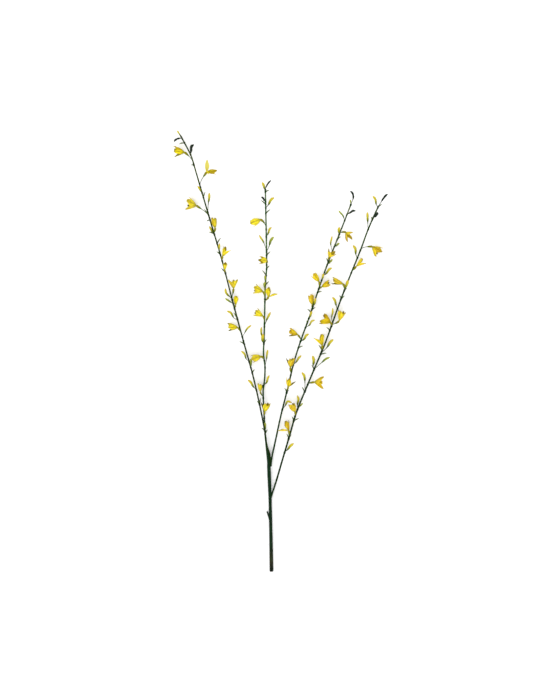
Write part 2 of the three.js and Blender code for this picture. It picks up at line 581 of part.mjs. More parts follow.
function twigTube(curve, [footRadius, tipRadius]) {
  const places = Array.from({ length: TWIG_STEPS + 1 }, (_, step) => step / TWIG_STEPS);
  const centres = places.map((u) => curve.getPointAt(u));
  const radii = places.map((u) => THREE.MathUtils.lerp(footRadius, tipRadius, u));
  return rod(centres, radii, TWIG_SIDES);
}

// What reaches below the surface is pressed flat on it
function pressFlat(solid) {
  const below = new THREE.BoxGeometry(GROUND, GROUND, GROUND);
  below.translate(0, 0, -GROUND / 2);
  return largest(solid.subtract(solidOf(below)));
}

const branch = new THREE.Group();

function add(name, solid, color, roughness) {
  const shape = PRESSED_FLAT.includes(name) ? pressFlat(solid) : solid;
  const material = new THREE.MeshStandardMaterial({ color, roughness, metalness: 0 });
  const mesh = new THREE.Mesh(geometryOf(shape), material);
  mesh.name = name;
  branch.add(mesh);
}

add('main_stem', mainStem(), GREEN.stem, ROUGHNESS.stem);
const stemClearance = stemSolid(SEAT_GAP);
for (const [letter, twig] of Object.entries(TWIGS)) {
  const curve = curveOf(twig.path);
  const cups = twig.flowers.map((row) => stalkAndCup(curve, row));
  const green = fuse([
    twigTube(curve, twig.radii),
    ...cups.map((cup) => cup.solid),
    ...twig.buds.map((row) => bud(curve, row)),
    ...twig.leaves.map((row) => leaf(curve, row)),
  ]);
  add(`twig_${letter}`, largest(green.subtract(stemClearance)), GREEN.twig, ROUGHNESS.twig);
  for (const [i, row] of twig.flowers.entries()) {
    add(`flower_${letter}${row[0]}`, flower(cups[i], row), YELLOW[letter], ROUGHNESS.petals);
  }
}

export default branch;
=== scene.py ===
import math
import random

import bpy
import numpy as np
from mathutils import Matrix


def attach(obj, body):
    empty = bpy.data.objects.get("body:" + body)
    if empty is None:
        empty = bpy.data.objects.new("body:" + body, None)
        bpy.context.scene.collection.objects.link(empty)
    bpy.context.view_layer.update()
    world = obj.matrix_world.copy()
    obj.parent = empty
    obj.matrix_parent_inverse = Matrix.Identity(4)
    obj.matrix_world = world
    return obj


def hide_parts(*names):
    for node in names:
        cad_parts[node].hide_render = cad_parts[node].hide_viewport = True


# A dried branch of broom in flower, dressed over its solid model. Sizes are in millimetres
# in the same frame as the solids, and become metres where a mesh is made.
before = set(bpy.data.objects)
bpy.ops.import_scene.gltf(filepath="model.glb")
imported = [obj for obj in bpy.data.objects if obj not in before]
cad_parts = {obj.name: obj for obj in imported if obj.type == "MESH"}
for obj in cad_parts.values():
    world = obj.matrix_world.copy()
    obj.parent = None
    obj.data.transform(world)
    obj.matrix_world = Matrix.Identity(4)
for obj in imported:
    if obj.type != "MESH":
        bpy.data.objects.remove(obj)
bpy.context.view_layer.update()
MILLIMETRE = 0.001
BODY = "root"

# The camera looks straight down, as the photograph does: 2 mm of the branch to a pixel
PIXEL = 2.0
IMAGE_HEIGHT = 700
LENS = 120.0
SENSOR = 36.0
BRANCH_HEIGHT = 12.0
VIEW_CENTRE = (0.0, 2.0)

# The studio: soft white light from all round, and one wide lamp
STUDIO_LIGHT = 1.1  # how much brighter than its paint a surface looks
KEY_LIGHT = 1.4
KEY_SPREAD = 70  # degrees
KEY_TILT = (24, -18)  # degrees about the picture's two sides
FLOOR_REACH = 6000.0
FLOOR_DROP = 0.3  # how far the floor lies below the branch
NOISE_DETAIL = 3.0

# Stalks and cups
STALK_RADIUS = 0.6
STALK_RINGS = 6
CUP_LENGTH = 10.0
CUP_RADIUS = 2.1
CUP_DEPTH = 3.0
CUP_RINGS = 9
CUP_SIDES = 20
CUP_TEETH = 5
SEAT_GAP = 0.3  # between a flower and its cup

# Buds and leaves
BUD_LENGTH = 19.0
BUD_RADIUS = 2.4
BUD_GIRTHS = [  # along a bud, as shares of its length and of its radius
    (0, 0.42), (0.08, 0.7), (0.26, 0.86), (0.36, 0.94), (0.4, 0.8), (0.55, 0.98), (0.72, 1.0),
    (0.86, 0.78), (0.95, 0.5), (1, 0.2),
]
BUD_SEAM = 0.16  # this share wider one way and narrower the other
BUD_STALK_RINGS = 3
BUD_RINGS = 19
BUD_SIDES = 14
LEAF_HALF_WIDTH = 1.1
LEAF_THICKNESS = 0.35
LEAF_FOLD = 0.35  # how far its edges fold up, as a share of its half width
LEAF_GRID = (13, 7)

# Petals
PETAL_THICKNESS = 0.3
EDGE_THICKNESS = 0.3  # of a blade's long edges, as a share of its middle's
BANNER_GRID = (22, 17)
PETAL_GRID = (18, 13)
CURVE_STEPS = 60
CLAW_LENGTH = 1.4
CLAW_RADIUS = 1.4
PETAL_ROOT = 0.8  # the radius that the petals start on
MOST_WRAP = 1.25  # radians that half a petal may wrap round the axis
LEAN_JITTER = 4  # degrees
TIP_CURL = (-22, 26)  # degrees, inwards and outwards
CURLED_SHARE = 0.28  # of a petal's length
TIP_ROUNDING = 0.2  # how much shorter a petal is at its edges, as a share
TIP_NOTCH = 0.05
TIP_FRAY = 0.045
RUFFLE = 0.55
RUFFLE_LIFT = 0.3  # how much of a ruffle shows along the flower's axis
CRINKLE = 0.16
CREASE = 0.35
STANDING_PALENESS = 0.8  # of a standing flower's banner
MOST_PALENESS = 0.12  # of any other petal
KEEL_DRYNESS = (0.7, 1.0)  # how brown a petal's tip and edges may be
PETAL_DRYNESS = (0.1, 0.8)
STYLE_LENGTH = 12.5

# Twigs and stem
TWIG_RING = 1.0  # between two rings of a twig's mesh
TWIG_SIDES = 20
TWIG_GIRTH = 0.93  # of the solid twig's, between the nodes
TWIG_RIBS = 5
FURROW = 0.94  # radius in a furrow and how much more a rib adds, as shares of the twig's
RIB_RISE = 0.16
NODE_SWELLING = 0.45
NODE_SPREAD = 1.8
MOST_SWELLING = 1.2
STEM_RING = 1.5
STEM_SIDES = 32
STEM_GIRTH = 0.985  # of the solid stem's, on average
STEM_RIBS = 8
STEM_RIB_RISE = 0.04
KNOT_SINK = 0.35  # this, the girth and the reach are shares of a knot's size
KNOT_GIRTH = 0.7
KNOT_REACH = 1.05
KNOT_RISE = 0.5
CUT_STEP = 0.05  # how far the cut face stands off the end of the stem
CUT_RINGS = [0.2, 0.4, 0.6, 0.8, 0.97]
SEAM_FACES = (0.12, 0.05, 1.0)  # the way that the seam of a tube faces at its start

# The petals of each form of flower: part, place round the axis from the banner, how far it leans out at the
# root and at the tip, length, half width, how far its edges fold inwards as a share of that, and how far it
# has dried brown, from 0 to 1. Angles are in degrees. Both wings have the same row.
FLOWER_FORMS = {
    "bell": [
        ["banner", 0, 50, 22, 25, 9.6, 0.15, 0],
        ["wing", 80, 46, 18, 23, 8.8, 0, 0],
        ["keel", 180, 40, 20, 22.5, 5.6, 0, 0],
    ],
    "trumpet": [
        ["banner", 0, 46, 32, 19.5, 10.5, 0, 0],
        ["wing", 46, 52, 42, 24, 8.6, 0.1, 0],
        ["keel", 180, 46, 32, 19, 7, 0, 0],
    ],
    "plump": [
        ["banner", 0, 54, -14, 23.5, 9, 0, 0],
        ["wing", 98, 50, -16, 22, 6.8, 0, 0],
        ["keel", 180, 42, -12, 21, 5.4, 0, 0],
    ],
    "drooped": [
        ["banner", 0, 56, -10, 24.5, 9.2, 0, 0],
        ["wing", 82, 50, -16, 22, 6.6, 0, 0],
        ["keel", 180, 62, 30, 22.5, 3.8, 0.8, 0.8],
    ],
    "split": [
        ["banner", 0, 92, 68, 23, 6.4, 0.6, 0],
        ["wing", 105, 44, 2, 22.5, 6, 0, 0],
        ["keel", 180, 42, 14, 22, 4.8, 0, 0],
    ],
    "standing": [
        ["banner", 0, 84, 62, 23, 8.4, 0.15, 0],
        ["wing", 100, 58, 40, 20, 5.6, 0, 0],
        ["keel", 180, 38, 20, 22, 5.2, 0, 0],
    ],
}

# Lower stem: centre points from the cut end up, each with its radius. The last three fill the fork.
STEM = [
    [-17, -442, 3.3, 3.7],
    [-17.6, -404, 3.2, 3.6],
    [-18.4, -358, 4.4, 3.3],
    [-19.5, -310, 5.8, 3.1],
    [-20, -290, 6.2, 3.3],
    [-20.8, -270, 6.8, 3.4],
    [-21.6, -248, 7.6, 3.7],
    [-22.3, -232, 8.1, 3.6],
    [-23.2, -214, 8.8, 2.4],
    [-23.9, -203, 9.3, 1.6],
    [-25.2, -192, 9.8, 1.0],
    [-26.6, -182, 10.2, 0.5],
]
KNOTS = [[-16.6, -378, 3.1], [-16, -363, 3.2], [-15.2, -409, 2.9], [-15.8, -393, 2.7]]
STUB = {"foot": [-19.5, -340, 5], "tip": [-25.8, -321, 6], "radius": 1.7}

# Each twig: points of its path from the fork up, its radii at its foot and its tip, and what grows on it.
# Each flower: number, height of its node on the twig, [x, y] of its cup's mouth and the mouth's height
# above the twig, form, heading in the picture, rise from the table, turn of the banner to the left of
# the heading, how far it is open, and its size. Angles are in degrees.
# Each bud: node, [x, y] of its foot, [x, y] of its tip, height of the tip above the twig, sideways bow
# to the left, and its girth as a share of the usual. Each leaf: node, [x, y] of its tip, height of the
# tip above the twig.
TWIG_A = {
    "path": [
        [-20.6, -228, 9.0], [-20.4, -208, 10.8], [-26, -190, 12.2], [-29.6, -166, 12.6], [-35, -136, 12.6],
        [-52, -58, 12], [-73, 19, 12], [-96, 104, 12.5], [-116, 181, 12.5], [-137, 252, 12.5],
        [-157, 320, 13], [-171, 368, 14], [-177, 388, 14.5], [-184, 403, 15], [-199.4, 431.4, 16],
    ],
    "radii": [1.7, 1.45],
    "flowers": [
        [1, 374, [-189.4, 396], 2, "drooped", 170, 0, -70, 0.7, 1.08],
        [2, 328, [-147.7, 355.8], 3, "standing", 18, 36, 90, 0.9, 1.1],
        [3, 266, [-165.7, 289.9], -3.6, "bell", 165, -4, -15, 1.02, 1.08],
        [4, 234, [-129.7, 244], 3, "plump", 98, 8, 50, 0.6, 1],
        [5, 180, [-115.3, 187], 4, "split", 70, 12, -80, 0.42, 0.98],
        [6, 155, [-110.2, 160.5], 4, "plump", 84, 20, 180, 0.6, 0.71],
        [7, 102, [-93, 122.6], 6, "trumpet", 90, 10, 0, 0.64, 1],
        [8, 84, [-89.5, 90], -2.5, "plump", 85, -4, 0, 0.5, 0.85],
        [9, 20, [-82.8, 45.4], -1.5, "drooped", 170, -2, -60, 0.66, 0.98],
    ],
    "buds": [
        [428, [-199.4, 431], [-205.6, 440.6], 0, 0, 0.79],
        [424, [-201, 425], [-212, 418], 2, -1.6, 1.07],
        [392, [-177.6, 401], [-172.2, 412.6], 2, 2.5, 1.14],
        [316, [-158.5, 320], [-164.4, 329.8], 4, 0, 0.93],
        [277, [-143.4, 293.8], [-141.4, 316], 5, -0.8, 1],
        [234, [-135, 238], [-141.4, 249.4], -3, 0, 1],
        [197, [-121.5, 202], [-121.2, 215], 4, 0, 1],
        [103, [-99.4, 107.6], [-109.4, 125.2], 3, 3, 1],
        [95, [-99.4, 98.4], [-109.8, 105.2], -4, 0, 1],
        [62, [-92.4, 66.2], [-106.2, 80], 1, -3, 1],
        [28, [-71.4, 34.8], [-57.2, 51.6], 4, 2, 1],
        [-21, [-67.4, -16.2], [-77.8, 0], -2, -2.5, 1.07],
        [-34, [-58, -28], [-59.4, -15.6], 4, -1, 0.93],
        [-77, [-53.6, -71], [-64, -58], 2, -1.5, 1],
    ],
    "leaves": [
        [416, [-202.4, 413.4], -2], [371, [-178.5, 372], -3], [307, [-149.4, 318.4], 3],
        [271, [-152.6, 284.6], 3], [262, [-147, 259], 2], [234, [-143, 238], 3], [215, [-118.2, 226.4], -3],
        [193, [-127.4, 199.2], 2], [157, [-118.2, 166.2], -2], [66, [-93, 77], 3], [14, [-81.8, 19.2], 2],
        [-44, [-50.6, -36.6], -2], [-107, [-46.4, -99], 2], [-107, [-38.4, -93], 3],
    ],
}
TWIG_B = {
    "path": [
        [-23.5, -230, 7.7], [-25.4, -212, 7.6], [-27.4, -192, 7.6], [-29.6, -170, 8], [-31.6, -132, 9.5],
        [-33.4, -98, 11], [-33.6, -78, 11.5], [-30.8, -56, 12], [-30.2, -30, 12], [-33, -6, 12],
        [-32, 22, 12], [-31, 62, 12], [-30, 110, 12], [-29, 139, 12], [-27, 162, 12.5], [-27, 200, 13],
        [-28, 258, 14], [-29.4, 323.6, 15],
    ],
    "radii": [1.7, 1.5],
    "flowers": [
        [1, 243, [-37.4, 262.1], 0.8, "plump", 204, -3, -5, 0.85, 1.06],
        [2, 172, [-26, 179.4], 7.8, "plump", 176, 25, 0, 1.15, 0.88],
        [3, 103, [-33.1, 117.4], 1.2, "bell", 163, 0, -15, 0.9, 0.95],
        [4, 98, [-24, 106.5], 8, "split", 84, 10, -82, 0.85, 0.95],
        [5, 54, [-33, 68.1], 2.5, "bell", 152, 4, -15, 0.75, 0.9],
        [6, -19, [-36.4, -11.4], 2.4, "plump", 199, -2, -5, 0.95, 1.02],
        [7, -94, [-39, -83], -1.5, "drooped", 92, 2, 60, 0.6, 0.76],
        [8, -134, [-30.7, -122.5], 9.5, "drooped", 78, 14, -60, 0.85, 0.92],
    ],
    "buds": [
        [322, [-27.2, 329], [-17.6, 341.2], 2, 1, 0.79],
        [320, [-31, 325.2], [-35.6, 337], 3, -0.5, 1],
        [298, [-31.4, 301], [-37.6, 308], 1, -1.2, 1.07],
        [286, [-23, 292.6], [-11.8, 306.8], 2, 2, 1],
        [228, [-23, 237], [-16.8, 247.6], -3, 1.5, 1],
        [202, [-33.4, 218.4], [-41.8, 231.4], 4, 0, 0.93],
        [198, [-21.8, 209.2], [-12.6, 228.2], 3, 2, 1],
        [137, [-29.2, 141], [-29.8, 151], 4, 0, 0.86],
        [122, [-30.4, 127], [-29.4, 138], 5, 1.5, 1],
        [104, [-30.4, 109], [-30.4, 122.4], 4, 0, 0.93],
        [49, [-26, 63.8], [-19, 77.6], 3, 0, 1],
        [18, [-36.6, 31.8], [-37, 47.8], -3, 1, 0.93],
        [14, [-34.8, 22], [-33.6, 34], 4, 0.5, 1.21],
        [-33, [-26.8, -14], [-24.2, 2.4], -2, 0.5, 1],
        [-69, [-26.4, -62], [-21.2, -48.8], 3, 1, 1],
        [-160, [-29.6, -155], [-30, -143], 3, 0, 0.86],
    ],
    "leaves": [
        [317, [-21.4, 321.8], 2], [293, [-38.2, 301.4], -3], [275, [-18.8, 283.2], 2],
        [191, [-18.8, 199.2], -2], [164, [-20.6, 170.8], 3], [151, [-36, 162], -2],
        [131, [-21.8, 139.6], -2], [16, [-26.6, 23.4], 2], [-166, [-24.8, -157], 1],
        [-160, [-37.2, -154], -2],
    ],
}
TWIG_C = {
    "path": [
        [-18.4, -231, 6.6], [-16.2, -212, 7.4], [-11, -188, 9], [2, -128, 11], [15, -76, 12], [28, -22, 12],
        [43, 25, 12], [59, 69, 12], [74, 114, 12], [92, 166, 12.5], [110, 212, 13], [127, 255, 13.5],
        [142.4, 295, 14],
    ],
    "radii": [1.75, 1.4],
    "flowers": [
        [1, 234, [129.9, 237.6], 4, "split", -62, 0, 35, 0.85, 0.93],
        [2, 180, [97.2, 185.6], 5.5, "bell", 62, 25, -60, 0.95, 0.8],
        [3, 125, [78.6, 137.1], 1.5, "plump", 128, 0, -10, 0.75, 0.94],
        [4, 123, [82.2, 127.6], -1.5, "plump", 24, 0, 60, 0.72, 0.86],
        [5, 85, [64.8, 90.3], -2.5, "plump", 103, 2, -30, 0.7, 1],
        [6, 20, [36.8, 31], 0, "drooped", 158, 0, -65, 0.6, 0.92],
        [7, -48, [20.7, -34.6], 5.5, "drooped", 84, 10, -60, 0.65, 0.94],
        [8, -82, [16.2, -73], 7.5, "drooped", 78, 10, 85, 0.95, 0.84],
    ],
    "buds": [
        [293, [146.6, 307], [140.4, 320], 3, -2, 0.86],
        [291, [141.6, 296], [140.4, 302.5], 2, 0, 0.64],
        [273, [140.4, 276.6], [151.2, 280], 2, 1.8, 0.86],
        [261, [125.6, 270.8], [116.8, 280.8], 2, 0, 0.86],
        [232, [118, 236], [119, 247.4], 4, 1, 1],
        [199, [101.2, 215.2], [104, 229.6], 4, 0, 0.86],
        [208, [112.4, 210.6], [119.2, 215.6], -2, 0.5, 0.79],
        [172, [98.8, 177], [105, 183.4], -3, 0, 0.79],
        [150, [93, 156], [103.8, 166.2], 2, 1.5, 0.93],
        [141, [84.8, 145], [87, 155], 4, 0, 0.93],
        [89, [68.8, 94], [70.6, 106], 3, -0.5, 1],
        [65, [60.2, 69], [63.4, 79.5], 4, 0, 0.93],
        [47, [59, 52], [70, 62], 2, 2.5, 0.93],
        [19, [48.2, 24], [57.8, 33.8], 2, 2, 0.93],
        [-28, [33.4, -20.6], [42.8, -9], -2, 1, 1],
        [-118, [10.4, -109.4], [23.6, -103.6], 3, 6, 0.86],
    ],
    "leaves": [
        [223, [121.4, 229], -2], [177, [92.4, 186.2], -2], [117, [84, 119], 2], [77, [54.2, 84.4], -2],
        [82, [71.2, 87.4], -3], [55, [53.6, 61], 3], [6, [46.6, 10.2], 2], [-82, [8.8, -74], 2],
        [-84, [17.6, -77.5], -3],
    ],
}
TWIG_D = {
    "path": [
        [-20.4, -301, 6.4], [-16, -286, 7], [-9, -265, 7.8], [3, -224, 9.4], [18, -173, 11], [33, -122, 12],
        [53, -73, 12], [71, -30, 12], [90, 15, 12], [107, 62, 12], [122, 104, 12], [142, 155, 12],
        [161, 202, 12.5], [175, 240, 13], [186, 266, 13.5], [197.4, 290.6, 14],
    ],
    "radii": [1.9, 1.5],
    "flowers": [
        [1, 201, [182.9, 209], -2.8, "bell", -42, -6, 20, 0.9, 0.98],
        [2, 156, [151.4, 167.8], 3, "split", 50, 5, -80, 0.4, 0.94],
        [3, 120, [127, 132.4], 5, "drooped", 158, 4, -70, 0.5, 1.08],
        [4, 49, [102.4, 55.2], 3.6, "bell", 152, 2, 32, 0.95, 1.06],
        [5, 50, [117.1, 59.2], 1.5, "bell", 72, 8, 20, 0.7, 1],
        [6, -1, [84.5, 9.4], 4.5, "split", 96, 6, 80, 0.52, 1.08],
        [7, -67, [66.4, -62.4], 6.2, "trumpet", -4, -2, 0, 0.84, 1.04],
        [8, -131, [30.6, -123], 5.5, "plump", 114, 10, 20, 0.95, 0.94],
        [9, -176, [17.8, -160.6], 1.5, "split", 112, 4, 80, 0.8, 0.98],
    ],
    "buds": [
        [290, [207, 305.4], [215.4, 314], 1, 0.6, 0.86],
        [287, [192.4, 293], [185.2, 309.8], 2, -2.3, 1.07],
        [266, [189.6, 269], [195.8, 277.2], 1, 0, 1.21],
        [243, [175.4, 257.4], [174.6, 277.4], 3, 0, 1],
        [186, [151.6, 193], [146, 211.4], 2, -2.3, 1],
        [121, [129, 124], [136, 142], 4, -0.8, 1.5],
        [84, [112, 92], [104.8, 107.8], -2, -1.8, 0.93],
        [56, [103.2, 67], [105.4, 86], 3, -0.8, 0.93],
        [-4, [94, 7], [106.8, 23.2], -2, 1.5, 1.07],
        [-37, [66.2, -30.8], [65, -9.4], 2, -2, 1.21],
        [-36, [83.4, -23.2], [99.8, -12.4], 3, 1.5, 0.93],
        [-80, [49.6, -58.4], [43.6, -42.8], 3, -2, 1],
        [-117, [35, -106], [34.8, -89], -3, -2, 1],
        [-112, [40, -110], [45.6, -104.4], 2, 0, 0.71],
        [-203, [14.2, -198.2], [27.6, -184.6], 2, 1, 1],
    ],
    "leaves": [
        [288, [204, 293.6], 1], [262, [181.8, 268.5], 2], [121, [134, 126], -3], [103, [129.6, 111], 2],
        [105, [118.8, 111.2], -2], [41, [92.2, 47.6], 2], [1, [76.8, 12.6], -3], [-7, [93.8, -4.2], 2],
        [-37, [62.8, -27.8], -2], [-82, [43.2, -71.4], -2], [-139, [23.4, -130.8], 2],
        [-140, [38.8, -134.4], 2], [-175, [13, -165.2], -2], [-175, [23, -166.8], -2],
    ],
}
TWIGS = {"a": TWIG_A, "b": TWIG_B, "c": TWIG_C, "d": TWIG_D}

# Buds that have dried dark, and buds that are still green, by twig and node
DARK_BUDS = {"a": [424, 392], "b": [322, 298], "c": [293, 273], "d": [290, 266]}
GREEN_BUDS = {"a": [95, -34], "b": [198, 137, 122, 104, -160], "c": [291, 261, 208, 172], "d": [-36, -112]}


# Lines and directions

def unit(vector):
    return vector / np.linalg.norm(vector)


def direction(heading, rise):
    """The way to a heading in the picture, rising from the table. Both are in degrees."""
    turn, lift = math.radians(heading), math.radians(rise)
    return np.array([math.cos(turn) * math.cos(lift), math.sin(turn) * math.cos(lift), math.sin(lift)])


def turned(vector, axis, degrees):
    """The vector turned about a unit axis."""
    angle = math.radians(degrees)
    across = np.cross(axis, vector)
    along = axis * (axis @ vector)
    return vector * math.cos(angle) + across * math.sin(angle) + along * (1 - math.cos(angle))


class Line:
    """A smooth line, measured by its length."""

    def __init__(self, points):
        self.points = np.array(points, float)
        steps = np.linalg.norm(np.diff(self.points, axis=0), axis=1)
        self.lengths = np.concatenate([[0], np.cumsum(steps)])
        self.length = self.lengths[-1]

    @classmethod
    def through(cls, points, steps=24):
        """A centripetal spline through the points."""
        points = [np.array(point, float) for point in points]
        points = [2 * points[0] - points[1], *points, 2 * points[-1] - points[-2]]
        places = []
        for p, q, r, s in zip(points, points[1:], points[2:], points[3:]):
            before, here, after = [math.sqrt(np.linalg.norm(b - a)) for a, b in ((p, q), (q, r), (r, s))]
            leave = ((q - p) / before - (r - p) / (before + here) + (r - q) / here) * here
            arrive = ((r - q) / here - (s - q) / (here + after) + (s - r) / after) * here
            for t in np.arange(steps) / steps:
                cubic = (2 * q - 2 * r + leave + arrive) * t**3
                square = (3 * r - 3 * q - 2 * leave - arrive) * t**2
                places.append(q + leave * t + square + cubic)
        return cls(places + [points[-2]])

    @classmethod
    def bezier(cls, start, pull, push, end, steps=40):
        t = np.linspace(0, 1, steps + 1)[:, None]
        s = 1 - t
        return cls(s**3 * start + 3 * s**2 * t * pull + 3 * s * t**2 * push + t**3 * end)

    def at(self, share):
        along = np.asarray(share) * self.length
        return np.stack([np.interp(along, self.lengths, self.points[:, i]) for i in range(3)], axis=-1)

    def heading(self, share, step=0.002):
        return unit(self.at(min(share + step, 1)) - self.at(max(share - step, 0)))

    def share_at(self, y):
        """How far along a climbing line reaches height y in the picture."""
        return float(np.interp(y, self.points[:, 1], self.lengths)) / self.length


# Meshes

class Form:
    """Corners, faces and painted values that become one piece."""

    def __init__(self):
        self.corners = []
        self.faces = []
        self.paint = {}
        self.count = 0

    def add(self, corners, faces, **paint):
        self.corners.append(corners)
        self.faces += [tuple(corner + self.count for corner in face) for face in faces]
        for name, values in paint.items():
            self.paint.setdefault(name, []).append(values)
        self.count += len(corners)

    def piece(self, name, material, slot, *nodes):
        """Makes the piece, which stands for the nodes and stays above the table."""
        corners = np.concatenate(self.corners) * MILLIMETRE
        corners[:, 2] = np.maximum(corners[:, 2], 0)
        mesh = bpy.data.meshes.new(name)
        mesh.from_pydata(corners.tolist(), [], self.faces)
        mesh.validate()
        for label, values in self.paint.items():
            layer = mesh.attributes.new(label, "FLOAT", "POINT")
            layer.data.foreach_set("value", np.concatenate(values))
        mesh.shade_smooth()
        mesh.materials.append(material)
        made = bpy.data.objects.new(name, mesh)
        bpy.context.scene.collection.objects.link(made)
        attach(made, BODY)
        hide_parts(*nodes)


def ring_angles(sides):
    return 2 * np.pi * np.arange(sides) / sides


def from_seam(sides, rings):
    """How near each corner of a tube is to its seam, for each of its rings: 1 there and 0 opposite."""
    return np.tile(np.abs(ring_angles(sides) / np.pi - 1), (rings, 1))


def frames_along(centres):
    """Two unit vectors across the line at each centre, turning as little as they can."""
    across = np.array(SEAM_FACES)
    frames = []
    for along in np.gradient(centres, axis=0):
        along = unit(along)
        across = unit(across - along * (across @ along))
        frames.append((across, np.cross(along, across)))
    return frames


def tube_faces(rings, sides):
    """Faces of a tube of rings, with a pole at each end as its first and last corner."""
    faces = []
    for side in range(sides):
        other = (side + 1) % sides
        faces.append((0, 1 + other, 1 + side))
        for ring in range(rings - 1):
            low, high = 1 + ring * sides, 1 + (ring + 1) * sides
            faces.append((low + side, low + other, high + other, high + side))
        top = 1 + (rings - 1) * sides
        faces.append((top + side, top + other, 1 + rings * sides))
    return faces


def tube(form, centres, radii, sides, **paint):
    """A closed round body. Radii are one to a ring, or one to a corner. So are the painted values."""
    centres = np.asarray(centres, float)
    rings = len(centres)
    radii = np.broadcast_to(np.asarray(radii, float).reshape(rings, -1), (rings, sides))
    angles = ring_angles(sides)
    body = []
    for centre, (across, beside), radius in zip(centres, frames_along(centres), radii):
        spokes = np.cos(angles)[:, None] * across + np.sin(angles)[:, None] * beside
        body.append(centre + radius[:, None] * spokes)
    corners = np.concatenate([centres[:1], *body, centres[-1:]])
    spread = {}
    for name, values in paint.items():
        values = np.asarray(values, float)
        values = np.broadcast_to(values.reshape(rings, -1) if values.ndim else values, (rings, sides))
        spread[name] = np.concatenate([values[0, :1], values.ravel(), values[-1, :1]])
    form.add(corners, tube_faces(rings, sides), **spread)


def sheet(form, grid, thickness, inside=False, **paint):
    """A thin closed blade on a grid of points, thinner towards its two long edges. A petal's first skin is
    the inside of its flower, which the petal finish paints darker, partly as painted shade."""
    rows, columns = grid.shape[:2]
    normal = np.cross(np.gradient(grid, axis=0), np.gradient(grid, axis=1))
    normal /= np.maximum(np.linalg.norm(normal, axis=2, keepdims=True), 1e-9)
    middle = 1 - np.linspace(-1, 1, columns) ** 2
    half = thickness * (EDGE_THICKNESS + (1 - EDGE_THICKNESS) * middle)[None, :, None] / 2
    skins = [(grid + normal * half).reshape(-1, 3), (grid - normal * half).reshape(-1, 3)]
    under = rows * columns
    faces = []
    for i in range(rows - 1):
        for j in range(columns - 1):
            a = i * columns + j
            b, c, d = a + columns, a + columns + 1, a + 1
            faces.append((a, b, c, d))
            faces.append((under + a, under + d, under + c, under + b))
    index = np.arange(under).reshape(rows, columns)
    sides = [index[0], index[1:, -1], index[-1, -2::-1], index[-2:0:-1, 0]]
    rim = np.concatenate(sides).tolist()
    faces += [(a, b, under + b, under + a) for a, b in zip(rim, rim[1:] + rim[:1])]
    doubled = {}
    for name, values in paint.items():
        values = np.broadcast_to(np.asarray(values, float), (rows, columns)).ravel()
        doubled[name] = np.concatenate([values, values])
    if inside:
        doubled["inside"] = np.repeat([1.0, 0.0], under)
    form.add(np.concatenate(skins), faces, **doubled)


# Materials

def shader_colour(red, green, blue):
    """The shader's colour for levels from 0 to 255, as they look on a screen in the studio light."""
    linear = []
    for level in (red, green, blue):
        level /= 255
        linear.append(level / 12.92 if level <= 0.04045 else ((level + 0.055) / 1.055) ** 2.4)
    return (*(level / STUDIO_LIGHT for level in linear), 1.0)


class Shade:
    """A value that varies over a surface. Sums and products of shades add the nodes that work them out."""

    def __init__(self, finish, socket):
        self.finish = finish
        self.socket = socket

    def maths(self, operation, *values):
        return self.finish.node("ShaderNodeMath", {"operation": operation}, dict(enumerate(values)))

    def __add__(self, other):
        return self.maths("ADD", self, other)

    def __sub__(self, other):
        return self.maths("SUBTRACT", self, other)

    def __rsub__(self, other):
        return self.maths("SUBTRACT", other, self)

    def __mul__(self, other):
        return self.maths("MULTIPLY", self, other)

    __radd__ = __add__
    __rmul__ = __mul__

    def between(self, low, high):
        """0 where the value is low, 1 where it is high, and a smooth step from one to the other."""
        settings = {"interpolation_type": "SMOOTHSTEP"}
        values = {"Value": self, "From Min": low, "From Max": high}
        return self.finish.node("ShaderNodeMapRange", settings, values, "Result")


class Finish:
    """A material made of nodes. Roughness and shine are the same all over the surface."""

    def __init__(self, name, roughness, shine=0.2):
        self.material = bpy.data.materials.new(name)
        self.material.use_nodes = True
        self.tree = self.material.node_tree
        self.shader = self.tree.nodes["Principled BSDF"]
        self.shader.inputs["Roughness"].default_value = roughness
        self.shader.inputs["Specular IOR Level"].default_value = shine

    def node(self, kind, settings, values, output=0):
        """Any node: its settings, what goes into its sockets, and which of its outputs is used."""
        made = self.tree.nodes.new(kind)
        for name, value in settings.items():
            if name == "stops":
                ramp = made.color_ramp.elements
                while len(ramp) < len(value):
                    ramp.new(0.5)
                for stop, (place, colour) in zip(ramp, value):
                    stop.position = place
                    stop.color = shader_colour(*colour)
            else:
                setattr(made, name, value)
        for name, value in values.items():
            self.feed(made.inputs[name], value)
        return Shade(self, made.outputs[output])

    def feed(self, socket, value):
        """Links a shade, works out a colour of three levels, or sets any other value."""
        if isinstance(value, Shade):
            self.tree.links.new(value.socket, socket)
        elif isinstance(value, tuple) and len(value) == 3:
            socket.default_value = shader_colour(*value)
        else:
            socket.default_value = value

    def painted(self, name):
        return self.node("ShaderNodeAttribute", {"attribute_name": name}, {}, "Fac")

    def place(self):
        return self.node("ShaderNodeTexCoord", {}, {}, "Object")

    def joined(self, x, y, z):
        return self.node("ShaderNodeCombineXYZ", {}, {"X": x, "Y": y, "Z": z}, "Vector")

    def noise(self, where, scale):
        values = {"Vector": where, "Scale": scale, "Detail": NOISE_DETAIL}
        return self.node("ShaderNodeTexNoise", {}, values, "Fac")

    def blend(self, share, first, second):
        return self.node("ShaderNodeMix", {"data_type": "RGBA"}, {0: share, 6: first, 7: second}, 2)

    def ramp(self, value, stops):
        return self.node("ShaderNodeValToRGB", {"stops": stops}, {"Fac": value}, "Color")

    def bump(self, height, distance):
        normal = self.node("ShaderNodeBump", {}, {"Height": height, "Distance": distance}, "Normal")
        self.feed(self.shader.inputs["Normal"], normal)

    def colour(self, shade):
        self.feed(self.shader.inputs["Base Color"], shade)
        return self.material


